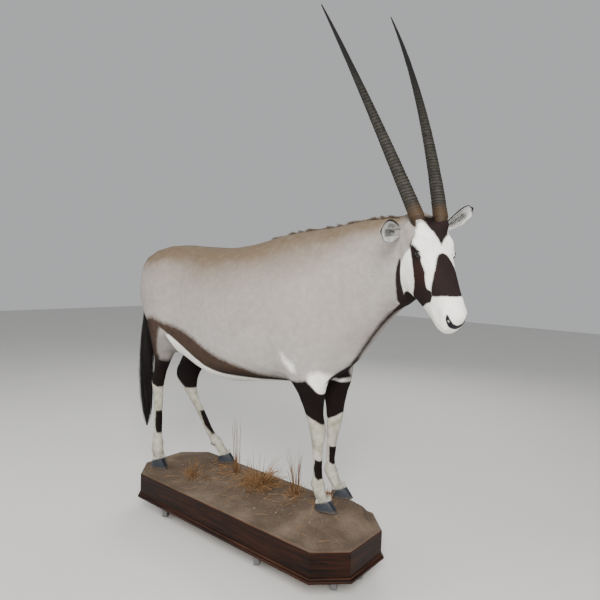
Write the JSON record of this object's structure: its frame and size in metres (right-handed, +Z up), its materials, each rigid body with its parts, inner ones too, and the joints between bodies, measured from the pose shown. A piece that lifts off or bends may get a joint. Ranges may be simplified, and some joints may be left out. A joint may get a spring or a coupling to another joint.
{
  "type": "full body gemsbok mount",
  "caption": "Life-size standing gemsbok mount with long ringed horns on a wheeled octagonal wooden base dressed with sand and dry grass.",
  "frame": {"origin": "on the floor under the middle of the whole mount's box", "axes": "+X the way the animal's body faces, +Y its left side, +Z up"},
  "size_m": [1.8716, 0.6173, 2.3907],
  "materials": {
    "hide": "short matt fur",
    "horn": "ringed dark horn",
    "hoof": "smooth dark horn",
    "eye": "gloss",
    "tail_hair": "long black hair",
    "walnut_board": "satin lacquer",
    "moulding": "satin lacquer",
    "deck": "raw plywood",
    "sand": "dry sand",
    "grass": "dry straw",
    "zinc": "zinc plate",
    "wheel": "matt grey"
  },
  "bodies": {
    "mount": {"front_right_board": "walnut_board", "front_board": "walnut_board", "front_left_board": "walnut_board", "left_board": "walnut_board", "rear_left_board": "walnut_board", "rear_board": "walnut_board", "rear_right_board": "walnut_board", "right_board": "walnut_board", "front_right_moulding": "moulding", "front_moulding": "moulding", "front_left_moulding": "moulding", "left_moulding": "moulding", "rear_left_moulding": "moulding", "rear_moulding": "moulding", "rear_right_moulding": "moulding", "right_moulding": "moulding", "deck": "deck", "ground": "sand", "hide": "hide", "left_horn": "horn", "right_horn": "horn", "left_eye": "eye", "right_eye": "eye", "tail_switch": "tail_hair", "right_fore_left_claw": "hoof", "right_fore_right_claw": "hoof", "left_fore_left_claw": "hoof", "left_fore_right_claw": "hoof", "right_hind_left_claw": "hoof", "right_hind_right_claw": "hoof", "left_hind_left_claw": "hoof", "left_hind_right_claw": "hoof", "grass_tall": "grass", "grass_clump": "grass", "grass_front": "grass", "grass_rear": "grass", "grass_between": "grass", "caster_1_plate": "zinc", "caster_2_plate": "zinc", "caster_3_plate": "zinc", "caster_4_plate": "zinc", "caster_5_plate": "zinc", "caster_6_plate": "zinc"},
    "caster_1_swivel_body": {"caster_1_fork": "zinc"},
    "caster_1_wheel_body": {"caster_1_wheel": "wheel"},
    "caster_2_swivel_body": {"caster_2_fork": "zinc"},
    "caster_2_wheel_body": {"caster_2_wheel": "wheel"},
    "caster_3_swivel_body": {"caster_3_fork": "zinc"},
    "caster_3_wheel_body": {"caster_3_wheel": "wheel"},
    "caster_4_swivel_body": {"caster_4_fork": "zinc"},
    "caster_4_wheel_body": {"caster_4_wheel": "wheel"},
    "caster_5_swivel_body": {"caster_5_fork": "zinc"},
    "caster_5_wheel_body": {"caster_5_wheel": "wheel"},
    "caster_6_swivel_body": {"caster_6_fork": "zinc"},
    "caster_6_wheel_body": {"caster_6_wheel": "wheel"}
  },
  "joints": [
    {"name": "caster_1_swivel", "type": "hinge", "parent": "mount", "child": "caster_1_swivel_body", "pos_m": [-0.5357, -0.1966, 0.09], "axis": [0, 0, 1], "continuous": true},
    {"name": "caster_1_roll", "type": "hinge", "parent": "caster_1_swivel_body", "child": "caster_1_wheel_body", "pos_m": [-0.54924, -0.17926, 0.0375], "axis": [0.788, 0.6157, 0], "continuous": true},
    {"name": "caster_2_swivel", "type": "hinge", "parent": "mount", "child": "caster_2_swivel_body", "pos_m": [-0.5357, 0.1234, 0.09], "axis": [0, 0, 1], "continuous": true},
    {"name": "caster_2_roll", "type": "hinge", "parent": "caster_2_swivel_body", "child": "caster_2_wheel_body", "pos_m": [-0.5558, 0.11445, 0.0375], "axis": [-0.4067, 0.9135, 0], "continuous": true},
    {"name": "caster_3_swivel", "type": "hinge", "parent": "mount", "child": "caster_3_swivel_body", "pos_m": [0.0943, -0.1966, 0.09], "axis": [0, 0, 1], "continuous": true},
    {"name": "caster_3_roll", "type": "hinge", "parent": "caster_3_swivel_body", "child": "caster_3_wheel_body", "pos_m": [0.07958, -0.18025, 0.0375], "axis": [0.7431, 0.6691, 0], "continuous": true},
    {"name": "caster_4_swivel", "type": "hinge", "parent": "mount", "child": "caster_4_swivel_body", "pos_m": [0.0943, 0.1234, 0.09], "axis": [0, 0, 1], "continuous": true},
    {"name": "caster_4_roll", "type": "hinge", "parent": "caster_4_swivel_body", "child": "caster_4_wheel_body", "pos_m": [0.07628, 0.11078, 0.0375], "axis": [-0.5736, 0.8192, 0], "continuous": true},
    {"name": "caster_5_swivel", "type": "hinge", "parent": "mount", "child": "caster_5_swivel_body", "pos_m": [0.4393, -0.1166, 0.09], "axis": [0, 0, 1], "continuous": true},
    {"name": "caster_5_roll", "type": "hinge", "parent": "caster_5_swivel_body", "child": "caster_5_wheel_body", "pos_m": [0.4283, -0.09755, 0.0375], "axis": [0.866, 0.5, 0], "continuous": true},
    {"name": "caster_6_swivel", "type": "hinge", "parent": "mount", "child": "caster_6_swivel_body", "pos_m": [0.4393, 0.0434, 0.09], "axis": [0, 0, 1], "continuous": true},
    {"name": "caster_6_roll", "type": "hinge", "parent": "caster_6_swivel_body", "child": "caster_6_wheel_body", "pos_m": [0.45615, 0.02926, 0.0375], "axis": [-0.6428, -0.766, 0], "continuous": true}
  ]
}
